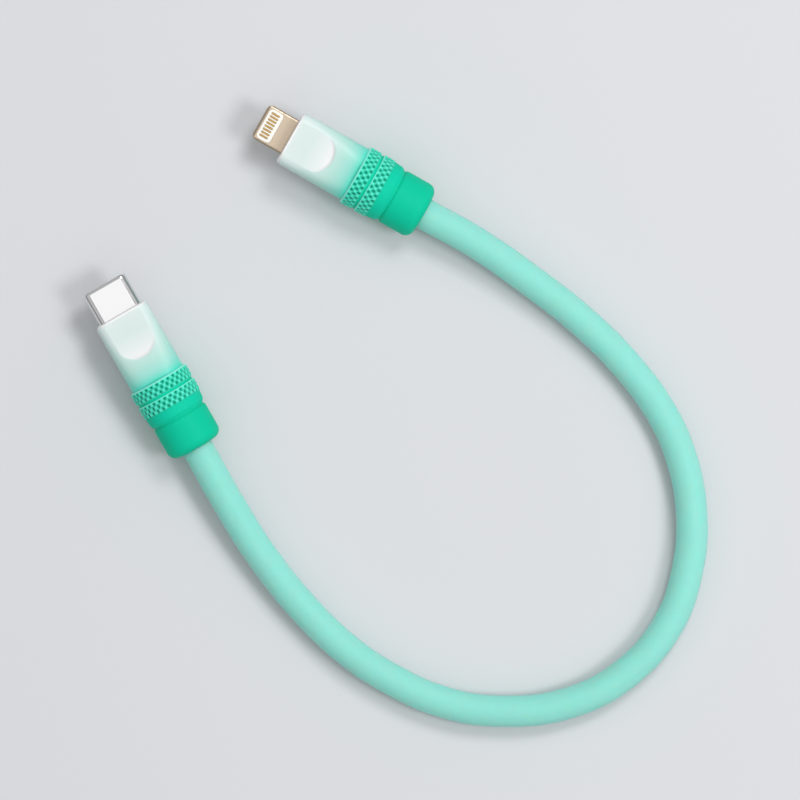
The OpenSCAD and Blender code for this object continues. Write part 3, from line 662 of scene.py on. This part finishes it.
shell_angle = (np.arange(SHELL_POINTS) + 0.5) * 2 * math.pi / SHELL_POINTS
shell_cos = np.cos(shell_angle)
shell_sin = np.sin(shell_angle)


def polar_ring(x, radius):
    return ring_at(x, radius, shell_angle)


def rounding(x, length, width):
    """What a rounding of the front end takes off each side at x."""
    share = max(1 - (FRONT_X - x) / length, 0)
    return width * (1 - math.sqrt(max(1 - share * share, 0)))


def outer_ring(x):
    """The shell's outline at x: nearly round beside the collar, and flat and squarish in front."""
    share = (x - COLLAR_X) / (FRONT_X - COLLAR_X)
    half_w = SHELL_W / 2 - rounding(x, SHELL_CORNER_L, SHELL_CORNER_W)
    half_h = (SHELL_REAR_H - (SHELL_REAR_H - SHELL_FRONT_H) * share ** SHELL_TAPER) / 2
    half_h -= rounding(x, SHELL_EDGE_R, SHELL_EDGE_R)
    power = SQUARE_REAR + SQUARE_GAIN * share ** SQUARE_TAPER
    radius = ((abs(shell_cos) / half_w) ** power + (abs(shell_sin) / half_h) ** power) ** (-1 / power)
    return polar_ring(x, radius)


def box_ring(x, w, h, r):
    """A rectangle with round corners, cut by the same rays as the outer rings."""
    ray_y = abs(shell_cos)
    ray_z = abs(shell_sin)
    flat = np.minimum(w / 2 / np.maximum(ray_y, 1e-9), h / 2 / np.maximum(ray_z, 1e-9))
    corner_y = w / 2 - r
    corner_z = h / 2 - r
    nearest = ray_y * corner_y + ray_z * corner_z
    beyond = np.sqrt(np.maximum(nearest ** 2 - (corner_y ** 2 + corner_z ** 2 - r * r), 0))
    on_corner = (ray_y * flat > corner_y) & (ray_z * flat > corner_z)
    return polar_ring(x, np.where(on_corner, nearest + beyond, flat))


def sink_rest(ring):
    """Lowers a ring's points to the thumb rests, and gives how much of the rest's colour each has."""
    x, y, z = ring.T
    within = REST_R - np.hypot(np.minimum(x - REST_X, 0), y)
    share = smoothstep(0, REST_FILLET, within)
    above = np.maximum(abs(z) - REST_Z - (FRONT_X - x) * REST_SLOPE, 0)
    ring[:, 2] = np.sign(z) * (abs(z) - share * above)
    return smoothstep(0, REST_TINT_DEPTH, above) * smoothstep(0, REST_TINT_W, within)


def front_shell(name, matrix, plug_w, plug_h, plug_r):
    """The tapered shell in front of the collar, with its hollow, its spigot and the plug's hole."""
    stations = list(np.linspace(COLLAR_X, FRONT_X - SHELL_CORNER_L, SHELL_STATIONS))
    corner_angles = np.radians(np.linspace(5, 90, CORNER_STATIONS))
    stations += [FRONT_X - SHELL_CORNER_L * (1 - math.sin(a)) for a in corner_angles]
    rings, rest = [], []
    for x in stations:
        ring = outer_ring(x)
        rest.append(sink_rest(ring))
        rings.append(ring)
    hole = (plug_w + 2 * CLEAR, plug_h + 2 * CLEAR, plug_r + CLEAR)
    cavity = (CAVITY_W, CAVITY_H, CAVITY_R)
    spigot_in_r = SPIGOT_R - SPIGOT_WALL
    spigot_in = (2 * spigot_in_r, 2 * spigot_in_r, spigot_in_r)
    wall_x = FRONT_X - SHELL_FRONT_WALL
    inner = [box_ring(FRONT_X, *hole), box_ring(wall_x, *hole), box_ring(wall_x, *cavity),
             box_ring(COLLAR_X + FUNNEL_L, *cavity), box_ring(COLLAR_X, *spigot_in),
             box_ring(SPIGOT_END_X, *spigot_in)]
    inner += [polar_ring(SPIGOT_END_X, np.full(SHELL_POINTS, SPIGOT_R)),
              polar_ring(COLLAR_X, np.full(SHELL_POINTS, SPIGOT_R))]
    piece = piece_from_rings(name, rings + inner, matrix, "shell_plastic", name)
    mark(piece, "rest", rest)


front_shell("usb_c_front_shell", USB_C, USB_C_W, USB_C_H, USB_C_H / 2)
front_shell("pin_plug_front_shell", PIN_PLUG, TAB_W, TAB_H, TAB_R)


# ---------- USB-C plug's drawn steel shell ----------

def drawn_shell():
    """A thin stadium tube whose tip is rounded and folded inwards."""
    line = [(PLUG_ROOT_X, 0.0)]
    line += [(TIP_X - USB_C_TIP_L * (1 - math.cos(a)), -USB_C_TIP_H * (1 - math.sin(a)))
             for a in np.radians(np.linspace(90, 0, USB_C_TIP_STEPS))]
    line += [(TIP_X, -USB_C_LIP), (TIP_X - USB_C_LIP_L, -USB_C_LIP), (TIP_X - USB_C_LIP_L, -USB_C_WALL),
             (PLUG_ROOT_X, -USB_C_WALL)]
    rings = [box_ring(x, USB_C_W + 2 * out, USB_C_H + 2 * out, USB_C_H / 2 + out) for x, out in line]
    piece_from_rings("usb_c_plug_shell", rings, USB_C, "plug_steel", "usb_c_plug_shell")


drawn_shell()
